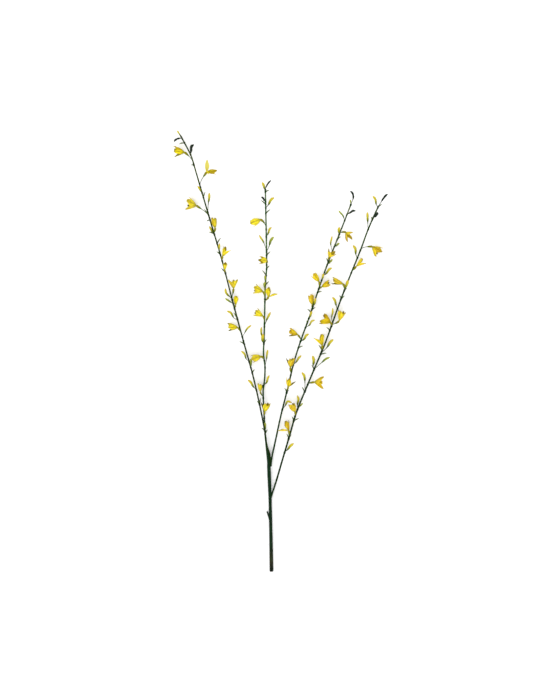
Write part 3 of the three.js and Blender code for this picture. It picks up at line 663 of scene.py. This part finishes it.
def petal_finish(name, body, ochre, pale):
    """Yellow petals: ochre streaks that are partly painted shade, painted shade in the olive throat, along
    the middle crease and on the inside, pale margins, and dried olive-brown tips.
    """
    finish = Finish(name, roughness=0.7, shine=0.1)
    along = finish.painted("along")
    across = finish.painted("across")
    tone = finish.painted("tone")
    streaks = finish.noise(finish.joined(across * 6.0, along * 1.2, tone * 9.0), 1.0)
    mottle = finish.noise(finish.place(), 260.0)
    base = finish.blend(across.between(0.4, 1.0) * along.between(0.3, 0.7) * 0.35, body, pale)
    # Ochre: partly the petals' own streaks and tones, partly painted shade in their folds
    ochre_and_shade = streaks.between(0.44, 0.6) * 0.8 + mottle.between(0.42, 0.6) * 0.5
    ochre_and_shade = ochre_and_shade + tone.between(0.4, 1.0) * 0.45
    base = finish.blend(ochre_and_shade * (1 - across * 0.5), base, ochre)
    # Inner skins darker ochre: partly painted shade inside the flower, partly its darker veins
    base = finish.blend(finish.painted("inside") * 0.6, base, (164, 136, 4))
    # Painted shade along the middle crease of each petal
    fold = 1 - across.between(0.0, 0.2)
    base = finish.blend(fold * 0.7, base, (124, 106, 2))
    # Painted shade: darker olive towards the root, in the flower's throat
    throat = 1 - along.between(0.04, 0.4)
    base = finish.blend(throat * 0.8, base, (114, 118, 8))
    base = finish.blend(finish.painted("pale"), base, (238, 228, 112))
    edge = along.between(0.76, 1.0) + across.between(0.75, 1.0) * along.between(0.5, 0.9)
    base = finish.blend(edge * finish.painted("dryness"), base, (98, 90, 12))
    base = finish.blend(finish.painted("dried"), base, (88, 84, 22))
    finish.bump(streaks, 0.0004)
    return finish.colour(base)


def bark_finish(name, young, old, ridge, painted_tip_highlight):
    """Ribbed green bark: darker at the foot and at the nodes, paler on its ribs, with pale grey-green
    patches of painted highlight towards the tip.
    """
    finish = Finish(name, roughness=0.7, shine=0.06)
    along = finish.painted("along")
    streaks = finish.noise(finish.joined(finish.painted("around") * 9.0, along * 60.0, 0.0), 1.0)
    patches = finish.noise(finish.place(), 60.0)
    base = finish.blend(along.between(0.1, 0.7), old, young)
    base = finish.blend(finish.painted("rib") * 0.3 + streaks.between(0.5, 0.7) * 0.3, base, ridge)
    # Painted highlight: pale grey-green patches over the upper part of the twig
    base = finish.blend(along.between(0.6, 1.0) * patches.between(0.4, 0.65) * 0.8, base, painted_tip_highlight)
    base = finish.blend(finish.painted("node") * 0.8, base, old)
    finish.bump(streaks, 0.0003)
    return finish.colour(base)


def cup_finish():
    """Flower stalks and cups: a dark green stalk, an olive cup, and a yellower rim."""
    finish = Finish("cup_skin", roughness=0.65, shine=0.1)
    along = finish.painted("along")
    streaks = finish.noise(finish.joined(finish.painted("around") * 6.0, along * 2.0, 0.0), 1.0)
    base = finish.ramp(along, [
        (0.0, (16, 40, 16)),
        (0.4, (44, 74, 16)),
        (0.62, (80, 100, 18)),
        (0.8, (122, 120, 14)),
        (1.0, (156, 138, 14)),
    ])
    base = finish.blend(streaks.between(0.5, 0.65) * 0.5, base, (48, 64, 14))
    finish.bump(streaks, 0.0003)
    return finish.colour(base)


def bud_finish():
    """Buds: an olive foot and a yellow folded flower, or green or dried dark all over."""
    finish = Finish("bud_skin", roughness=0.6, shine=0.1)
    along = finish.painted("along")
    streaks = finish.noise(finish.joined(finish.painted("around") * 5.0, along * 2.5, 0.0), 1.0)
    base = finish.ramp(along, [
        (0.0, (34, 56, 18)),
        (0.14, (84, 104, 20)),
        (0.34, (148, 146, 26)),
        (0.7, (204, 188, 48)),
        (1.0, (198, 168, 48)),
    ])
    base = finish.blend(streaks.between(0.46, 0.66) * 0.6, base, (130, 112, 14))
    green = finish.ramp(along, [(0.0, (52, 80, 30)), (1.0, (154, 166, 56))])
    dark = finish.ramp(streaks, [(0.3, (10, 18, 12)), (0.7, (34, 50, 36))])
    base = finish.blend(finish.painted("green"), base, green)
    base = finish.blend(finish.painted("dark"), base, dark)
    finish.bump(streaks, 0.0003)
    return finish.colour(base)


def leaf_finish():
    """Small grey-green leaves with a paler midrib."""
    finish = Finish("leaf_skin", roughness=0.75)
    midrib = 1 - finish.painted("across").between(0.0, 0.3)
    mottle = finish.noise(finish.place(), 500.0)
    base = finish.ramp(finish.painted("along"), [(0.0, (34, 52, 16)), (1.0, (98, 116, 60))])
    base = finish.blend(mottle.between(0.45, 0.7) * 0.6, base, (54, 70, 28))
    base = finish.blend(midrib * 0.5, base, (128, 142, 88))
    finish.bump(mottle, 0.0002)
    return finish.colour(base)


def stem_finish():
    """The lower stem: near-black green with paler streaks, and a browner band near the cut."""
    finish = Finish("stem_bark", roughness=0.7, shine=0.06)
    along = finish.painted("along")
    streaks = finish.noise(finish.joined(finish.painted("around") * 10.0, along * 16.0, 0.0), 1.0)
    patches = finish.noise(finish.place(), 90.0)
    base = finish.ramp(along, [
        (0.0, (12, 14, 10)),
        (0.03, (16, 20, 12)),
        (0.08, (44, 42, 26)),
        (0.18, (16, 34, 18)),
        (1.0, (6, 40, 18)),
    ])
    base = finish.blend(streaks.between(0.5, 0.7) * 0.4, base, (34, 70, 40))
    base = finish.blend(patches.between(0.5, 0.7) * 0.35, base, (8, 14, 8))
    finish.bump(streaks, 0.0005)
    return finish.colour(base)


def cut_finish():
    """The cut face: pale wood round a brown pith, inside a dark rim of bark."""
    finish = Finish("cut_face", roughness=0.8)
    grain = finish.noise(finish.place(), 900.0)
    base = finish.ramp(finish.painted("along"), [
        (0.0, (92, 70, 44)),
        (0.18, (120, 92, 58)),
        (0.3, (196, 176, 130)),
        (0.78, (180, 158, 112)),
        (0.9, (70, 66, 44)),
        (1.0, (34, 40, 28)),
    ])
    base = finish.blend(grain.between(0.45, 0.65) * 0.4, base, (120, 96, 60))
    finish.bump(grain, 0.0003)
    return finish.colour(base)


def floor_finish():
    finish = Finish("pale_floor", roughness=0.9)
    grain = finish.noise(finish.place(), 40.0)
    return finish.colour(finish.blend(grain, (0.93, 0.93, 0.93, 1), (0.95, 0.95, 0.95, 1)))


# Pieces of a twig

def swellings(line, nodes, shares):
    """How much thicker the twig is at each share of its length, near its nodes."""
    total = np.zeros(len(shares))
    for node in nodes:
        gap = (shares - line.share_at(node)) * line.length
        total += np.exp(-((gap / NODE_SPREAD) ** 2))
    return np.minimum(total, MOST_SWELLING)


def twig_tube(form, line, radii, nodes):
    """The green twig, with ribs that run its whole length."""
    shares = np.linspace(0, 1, int(line.length / TWIG_RING) + 1)
    rib = 0.5 + 0.5 * np.cos(TWIG_RIBS * ring_angles(TWIG_SIDES))
    swell = swellings(line, nodes, shares)
    girth = np.interp(shares, [0, 1], radii) * TWIG_GIRTH + NODE_SWELLING * swell
    tube(
        form, line.at(shares), girth[:, None] * (FURROW + RIB_RISE * rib), TWIG_SIDES,
        along=shares, around=from_seam(TWIG_SIDES, len(shares)),
        rib=np.tile(rib, (len(shares), 1)), node=np.minimum(swell, 1),
    )


def stalk_line(line, row):
    """The line of a flower's stalk, its mouth, the flower's axis, and how far the mouth is from the node."""
    _, node_height, mouth_place, lift, _, heading, rise, *_ = row
    share = line.share_at(node_height)
    node, ahead = line.at(share), line.heading(share)
    mouth = np.array([*mouth_place, node[2] + lift])
    axis = direction(heading, rise)
    out = mouth - node
    span = np.linalg.norm(out)
    lean = unit(2 * out / span + axis)
    stalk = Line.bezier(node, node + ahead * span * 0.3, mouth - lean * span * 0.45, mouth)
    return stalk, mouth, axis, span


def stalk_and_cup(form, line, row):
    """A thin stalk that widens into an open cup with small teeth round its rim."""
    size = row[-1]
    stalk, mouth, _, span = stalk_line(line, row)
    cup = min(CUP_LENGTH * size, span * 0.75) / stalk.length
    on_stalk = np.linspace(0, 1 - cup, STALK_RINGS + 1)[:-1]
    places = np.concatenate([on_stalk, 1 - cup * np.linspace(1, 0, CUP_RINGS)])
    rim = CUP_RADIUS * size
    profile = [(0, 1.25 * STALK_RADIUS), ((1 - cup) / 2, 0.95 * STALK_RADIUS), (1 - cup, 1.1 * STALK_RADIUS)]
    profile += [(1 - cup * 0.75, 0.62 * rim), (1 - cup * 0.45, 0.92 * rim)]
    profile += [(1 - cup * 0.15, 1.04 * rim), (1, 1.1 * rim)]
    radii = np.tile(np.interp(places, *zip(*profile))[:, None], (1, CUP_SIDES))
    centres = stalk.at(places)
    ahead = unit(centres[-1] - centres[-3])
    teeth = np.cos(CUP_TEETH / 2 * ring_angles(CUP_SIDES)) ** 2
    lip_centres = [mouth + ahead * 0.9 * size, mouth - ahead * 0.4, mouth - ahead * CUP_DEPTH * 0.5]
    lip_radii = [rim * (1.02 + 0.1 * teeth), np.full(CUP_SIDES, rim * 0.86), np.full(CUP_SIDES, rim * 0.6)]
    along = [on_stalk * 0.4, np.linspace(0.45, 0.95, CUP_RINGS), [1, 0.9, 0.7]]
    tube(
        form, np.concatenate([centres, lip_centres]), np.concatenate([radii, lip_radii]), CUP_SIDES,
        along=np.concatenate(along), around=from_seam(CUP_SIDES, len(places) + len(lip_centres)),
    )


def bud(form, line, row, letter, draw):
    """A slim folded flower on a short stalk, bowed to one side."""
    node_height, foot_place, tip_place, lift, bow, girth = row
    node = line.at(line.share_at(node_height))
    foot = np.array([*foot_place, node[2] + lift * 0.4])
    tip = np.array([*tip_place, node[2] + lift])
    lean = tip - foot
    left = unit(np.array([-lean[1], lean[0], 0]))
    stem = Line.through([node, foot, foot + lean * 0.55 + left * bow, tip])
    body = min(BUD_LENGTH, stem.length * 0.8) / stem.length
    on_stalk = np.linspace(0, 1 - body, BUD_STALK_RINGS + 1)[:-1]
    places = np.concatenate([on_stalk, 1 - body * (1 - np.linspace(0, 1, BUD_RINGS))])
    shares = np.clip((places - (1 - body)) / body, 0, 1)
    radii = np.interp(shares, *zip(*BUD_GIRTHS)) * BUD_RADIUS * girth
    radii[:BUD_STALK_RINGS] = STALK_RADIUS
    seam = 1 + BUD_SEAM * np.cos(2 * ring_angles(BUD_SIDES) + draw.uniform(0, 3))
    tube(
        form, stem.at(places), radii[:, None] * seam, BUD_SIDES,
        along=shares, around=from_seam(BUD_SIDES, len(places)),
        green=0.85 if node_height in GREEN_BUDS[letter] else 0,
        dark=1 if node_height in DARK_BUDS[letter] else 0,
    )


def leaf(form, line, row, draw):
    """A small folded blade with a pointed, curled tip."""
    node_height, tip_place, lift = row
    share = line.share_at(node_height)
    node, ahead = line.at(share), line.heading(share)
    tip = np.array([*tip_place, node[2] + lift])
    lean = tip - node
    spine = Line.through([node, node + lean * 0.55 + ahead * 0.8, tip])
    side = unit(np.array([-lean[1], lean[0], 0]))
    up = unit(np.cross(lean, side))
    t = np.linspace(0, 1, LEAF_GRID[0])[:, None]
    s = np.linspace(-1, 1, LEAF_GRID[1])[None, :]
    taper = np.sqrt(np.clip(1.02 - t**6, 0, 1))
    half = LEAF_HALF_WIDTH * (0.3 + 0.8 * np.sin(np.pi * t**0.8) ** 0.8) * taper
    curl = draw.uniform(-0.5, 0.8) * t**2
    grid = spine.at(t[:, 0])[:, None, :] + side * (half * s)[..., None]
    grid = grid + up * (LEAF_FOLD * np.abs(s) * half + curl)[..., None]
    sheet(form, grid, LEAF_THICKNESS, along=t, across=np.abs(s))


# Flowers. Along a petal t runs from 0 to 1, and across it s runs from -1 to 1.

def petal_outline(t):
    """Half width along a petal, as a share of its greatest."""
    return 0.42 + 0.6 * np.sin(np.pi * t**1.6)


def petal_rows(form_name):
    """The rows of a flower's four petals. The second wing mirrors the first."""
    banner, wing, keel = FLOWER_FORMS[form_name]
    part, azimuth, *shape = wing
    return [banner, wing, [part, -azimuth, *shape], keel]


def petal_curve(root_lean, tip_lean, length, openness, size, draw):
    """The curve that a petal stands on, from root to tip: places, lean, height up the axis, and radius."""
    jitter = draw.uniform(-LEAN_JITTER, LEAN_JITTER)
    curl = draw.uniform(*TIP_CURL)
    places = np.linspace(0, 1, CURVE_STEPS + 1)
    lean = (root_lean + (tip_lean - root_lean) * places) * openness + jitter
    curled = np.clip((places - (1 - CURLED_SHARE)) / CURLED_SHARE, 0, 1) ** 2
    lean = np.radians(lean + curl * curled)
    stride = length * size / CURVE_STEPS
    heights = np.concatenate([[0], np.cumsum(stride * np.cos(lean[1:]))])
    radii = PETAL_ROOT * size + np.concatenate([[0], np.cumsum(stride * np.sin(lean[1:]))])
    return places, lean, heights, radii


def petal_tip(s, draw):
    """How far a petal reaches at each place across it: round corners, a notch and a frayed edge."""
    frayed = np.convolve([draw.uniform(-1, 1) for _ in s], [0.25, 0.5, 0.25], "same")
    notch = np.exp(-((s / 0.12) ** 2))
    reach = 0.98 - TIP_ROUNDING * np.abs(s) ** 2.6 - TIP_NOTCH * notch + TIP_FRAY * frayed
    return np.clip(reach, 0, 1)


def petal_relief(t, s, size, draw):
    """How far a petal's surface stands out: its ruffled edges, and its crinkles and middle crease."""
    phase = draw.uniform(0, 6)
    ruffle = RUFFLE * size * s**2 * t * np.sin(phase + 7 * t + 2.4 * s * np.abs(s))
    crinkle = CRINKLE * size * t * np.sin(2 * phase + 19 * t + 6 * s)
    crease = CREASE * size * np.exp(-((s / 0.16) ** 2)) * np.sin(np.pi * t)
    return ruffle, crinkle - crease


def petal(form, root, axis, out, row, openness, size, pale, draw):
    """A petal stands on a curve that leans away from the axis, and wraps round it at the root."""
    part, _, *curve, half_width, fold, dried = row
    rows, columns = BANNER_GRID if part == "banner" else PETAL_GRID
    t = np.linspace(0, 1, rows)[:, None]
    s = np.linspace(-1, 1, columns)[None, :]
    places, lean, heights, radii = petal_curve(*curve, openness, size, draw)
    reach = t * petal_tip(s[0], draw)
    ruffle, relief = petal_relief(t, s, size, draw)
    lean = np.interp(reach, places, lean)
    radius = np.interp(reach, places, radii) + ruffle + relief
    half = half_width * size * petal_outline(t)
    angle = np.minimum(half / np.interp(t, places, radii), MOST_WRAP) * s
    folded = fold * half * s**2
    rise = np.interp(reach, places, heights) + RUFFLE_LIFT * ruffle + folded * np.sin(lean)
    outward = radius * np.cos(angle) - folded * np.cos(lean)
    beside = radius * np.sin(angle)
    grid = root + axis * rise[..., None] + out * outward[..., None]
    grid = grid + np.cross(axis, out) * beside[..., None]
    dryness = draw.uniform(*(KEEL_DRYNESS if part == "keel" else PETAL_DRYNESS))
    sheet(
        form, grid, PETAL_THICKNESS, inside=True, along=t, across=np.abs(s),
        tone=draw.random(), dryness=dryness * (1 - pale), pale=pale, dried=dried,
    )


# Paint of petals, which a flower's neck and style go without: paleness, the darker inside that is partly
# painted shade, and dried brown
UNMARKED = {"pale": 0, "inside": 0, "dried": 0}


def neck(form, mouth, foot, bend, cup_axis, axis, size):
    """The short neck of a flower, from inside its cup to where its petals part."""
    line = Line.through([mouth - cup_axis * 1.2, foot, bend, bend + axis * 1.8], steps=8)
    places = np.linspace(0, 1, 9)
    girth = np.interp(places, [0, 0.5, 1], [0.7, 1.0, 0.62]) * CLAW_RADIUS * size
    tube(form, line.at(places), girth, sides=14, along=0.04, across=0.6, tone=0.5, dryness=0, **UNMARKED)


def style(form, root, axis, banner_side, openness, size):
    """The thin style between the petals, hooked towards the banner at its tip."""
    keel_side = turned(banner_side, axis, 180)
    length = STYLE_LENGTH * size
    line = Line.through([
        root,
        root + axis * length * 0.6 + keel_side * 0.8 * openness,
        root + axis * length + keel_side * 0.3,
        root + axis * length * 1.08 + banner_side * 1.6 * size,
    ], steps=10)
    places = np.linspace(0, 1, 16)
    girth = np.interp(places, [0, 0.8, 0.93, 1], [0.34, 0.2, 0.34, 0.1])
    paint = {"along": 0.12 + 0.5 * places, "across": 0.5, "tone": 0.2, "dryness": 0.4}
    tube(form, line.at(places), girth, sides=8, **paint, **UNMARKED)


def flower(form, line, row, draw):
    """One open flower: a short neck in its cup, four petals, and a hooked style between them."""
    *_, form_name, _, _, roll, openness, size = row
    stalk, mouth, axis, _ = stalk_line(line, row)
    cup_axis = unit(mouth - stalk.at(0.96))
    foot = mouth + cup_axis * SEAT_GAP
    bend = foot + cup_axis * CLAW_LENGTH
    neck(form, mouth, foot, bend, cup_axis, axis, size)
    left = unit(np.cross([0, 0, 1], axis))
    up = np.cross(axis, left)
    banner_side = up * math.cos(math.radians(roll)) + left * math.sin(math.radians(roll))
    for petal_row in petal_rows(form_name):
        part, azimuth, *_ = petal_row
        out = turned(banner_side, axis, azimuth)
        standing = form_name == "standing" and part == "banner"
        pale = STANDING_PALENESS if standing else draw.uniform(0, MOST_PALENESS)
        petal(form, bend, axis, out, petal_row, openness, size, pale, draw)
    style(form, bend, axis, banner_side, openness, size)


# Lower stem

def stem_ribs():
    """The radius at each corner of a ring, as a share of the solid stem's."""
    return STEM_GIRTH + STEM_RIB_RISE * np.cos(STEM_RIBS * ring_angles(STEM_SIDES))


def stem_tube(form, line):
    shares = np.linspace(0, 1, int(line.length / STEM_RING) + 1)
    radius = np.interp(shares, [line.share_at(row[1]) for row in STEM], [row[3] for row in STEM])
    around = from_seam(STEM_SIDES, len(shares))
    tube(form, line.at(shares), radius[:, None] * stem_ribs(), STEM_SIDES, along=shares, around=around)


def knots(form, line):
    """Round knots, half sunk in the sides of the stem."""
    for x, y, size in KNOTS:
        share = line.share_at(y)
        centre = line.at(share)
        sunk = math.copysign(size * KNOT_SINK, x - centre[0])
        place = np.array([x - sunk, y, centre[2] + KNOT_RISE])
        steps = np.linspace(-1, 1, 13)
        girth = np.sqrt(np.clip(1 - steps**2, 0.01, 1)) * size * KNOT_GIRTH
        spine = place + np.array([0, 1, 0]) * (steps * size * KNOT_REACH)[:, None]
        tube(form, spine, girth, sides=16, along=share, around=0.5)


def stub(form, line):
    """The stub of a side shoot that was cut off."""
    foot, tip = np.array(STUB["foot"], float), np.array(STUB["tip"], float)
    steps = np.linspace(0, 1, 12)
    girth = STUB["radius"] * np.interp(steps, [0, 0.3, 0.9, 1], [1.5, 1.05, 1.0, 0.86])
    share = line.share_at(foot[1])
    tube(form, foot + (tip - foot) * steps[:, None], girth, sides=16, along=share, around=0.5)


def cut_face(form, line):
    """The cut end of the stem, in rings round its pith."""
    end, ahead = line.at(0.0), line.heading(0.0)
    across = unit(np.cross(ahead, [0, 0, 1]))
    up = np.cross(across, ahead)
    angles = ring_angles(STEM_SIDES)
    spokes = np.cos(angles)[:, None] * across + np.sin(angles)[:, None] * up
    rim = STEM[0][3] * stem_ribs()[:, None] * spokes
    pith = end - ahead * CUT_STEP
    corners = np.concatenate([[pith], *(pith + level * rim for level in CUT_RINGS)])
    faces = []
    for side in range(STEM_SIDES):
        other = (side + 1) % STEM_SIDES
        faces.append((0, 1 + side, 1 + other))
        for ring in range(len(CUT_RINGS) - 1):
            low, high = 1 + ring * STEM_SIDES, 1 + (ring + 1) * STEM_SIDES
            faces.append((low + side, high + side, high + other, low + other))
    form.add(corners, faces, along=np.concatenate([[0.0], np.repeat(CUT_RINGS, STEM_SIDES)]))


def main_stem(bark, cut):
    """The lower stem with its knots, the stub of a cut shoot, and its cut face."""
    line = Line.through([row[:3] for row in STEM])
    stem, face = Form(), Form()
    stem_tube(stem, line)
    knots(stem, line)
    stub(stem, line)
    cut_face(face, line)
    stem.piece("main_stem_bark", bark, "stem", "main_stem")
    face.piece("main_stem_cut", cut, "stem", "main_stem")


def twig(letter, table, draw):
    """A twig with its stalks, cups, buds and leaves, and the flowers that stand in its cups."""
    line = Line.through(table["path"])
    node = f"twig_{letter}"
    nodes = [row[1] for row in table["flowers"]]
    nodes += [row[0] for row in table["buds"] + table["leaves"]]
    stem, cups, buds, leaves = Form(), Form(), Form(), Form()
    twig_tube(stem, line, table["radii"], nodes)
    for row in table["flowers"]:
        stalk_and_cup(cups, line, row)
    for row in table["buds"]:
        bud(buds, line, row, letter, draw)
    for row in table["leaves"]:
        leaf(leaves, line, row, draw)
    stem.piece(f"{node}_stem", FINISHES[f"bark_{letter}"], "twig", node)
    cups.piece(f"{node}_cups", FINISHES["cup"], "twig", node)
    buds.piece(f"{node}_buds", FINISHES["bud"], "twig", node)
    leaves.piece(f"{node}_leaves", FINISHES["leaf"], "twig", node)
    slot = "petals_lemon" if letter in "ab" else "petals_amber"
    for row in table["flowers"]:
        petals = Form()
        flower(petals, line, row, draw)
        name = f"flower_{letter}{row[0]}"
        petals.piece(f"{name}_petals", FINISHES[slot], slot, name)


# Setting

def camera():
    eye = bpy.data.cameras.new("camera")
    eye.lens = LENS
    eye.sensor_width = SENSOR
    made = bpy.data.objects.new("camera", eye)
    height = BRANCH_HEIGHT + IMAGE_HEIGHT * PIXEL * LENS / SENSOR
    made.location = [value * MILLIMETRE for value in (*VIEW_CENTRE, height)]
    bpy.context.scene.collection.objects.link(made)
    bpy.context.scene.camera = made


def ground():
    mesh = bpy.data.meshes.new("floor")
    reach = FLOOR_REACH * MILLIMETRE
    corners = [(-reach, -reach, 0), (reach, -reach, 0), (reach, reach, 0), (-reach, reach, 0)]
    mesh.from_pydata(corners, [], [(0, 1, 2, 3)])
    mesh.materials.append(floor_finish())
    floor = bpy.data.objects.new("floor", mesh)
    floor.location.z = -FLOOR_DROP * MILLIMETRE
    bpy.context.scene.collection.objects.link(floor)


def studio_light():
    world = bpy.data.worlds.new("studio")
    world.use_nodes = True
    background = world.node_tree.nodes["Background"]
    background.inputs["Color"].default_value = (1, 1, 1, 1)
    background.inputs["Strength"].default_value = STUDIO_LIGHT
    bpy.context.scene.world = world
    lamp = bpy.data.lights.new("soft_key", "SUN")
    lamp.energy = KEY_LIGHT
    lamp.angle = math.radians(KEY_SPREAD)
    key = bpy.data.objects.new("soft_key", lamp)
    key.rotation_euler = (*(math.radians(tilt) for tilt in KEY_TILT), 0)
    bpy.context.scene.collection.objects.link(key)
    bpy.context.scene.view_settings.view_transform = "Standard"


camera()
ground()
studio_light()
draw = random.Random(7)
FINISHES = {
    # Petal colours: body, ochre that is partly painted shade, and pale
    "petals_lemon": petal_finish("petal_lemon", (243, 228, 20), (184, 154, 2), (250, 244, 108)),
    "petals_amber": petal_finish("petal_amber", (237, 217, 16), (182, 136, 2), (246, 238, 108)),
    # Bark colours: young, old, ridges, and the painted highlight towards the tip
    "bark_a": bark_finish("bark_a", (22, 46, 4), (4, 26, 2), (46, 72, 14), (86, 94, 44)),
    "bark_b": bark_finish("bark_b", (32, 74, 34), (4, 34, 6), (60, 98, 48), (94, 112, 80)),
    "bark_c": bark_finish("bark_c", (20, 52, 12), (6, 38, 8), (44, 80, 28), (114, 120, 80)),
    "bark_d": bark_finish("bark_d", (16, 46, 8), (4, 30, 4), (38, 72, 22), (60, 80, 34)),
    "cup": cup_finish(),
    "bud": bud_finish(),
    "leaf": leaf_finish(),
}
main_stem(stem_finish(), cut_finish())
for letter, table in TWIGS.items():
    twig(letter, table, draw)
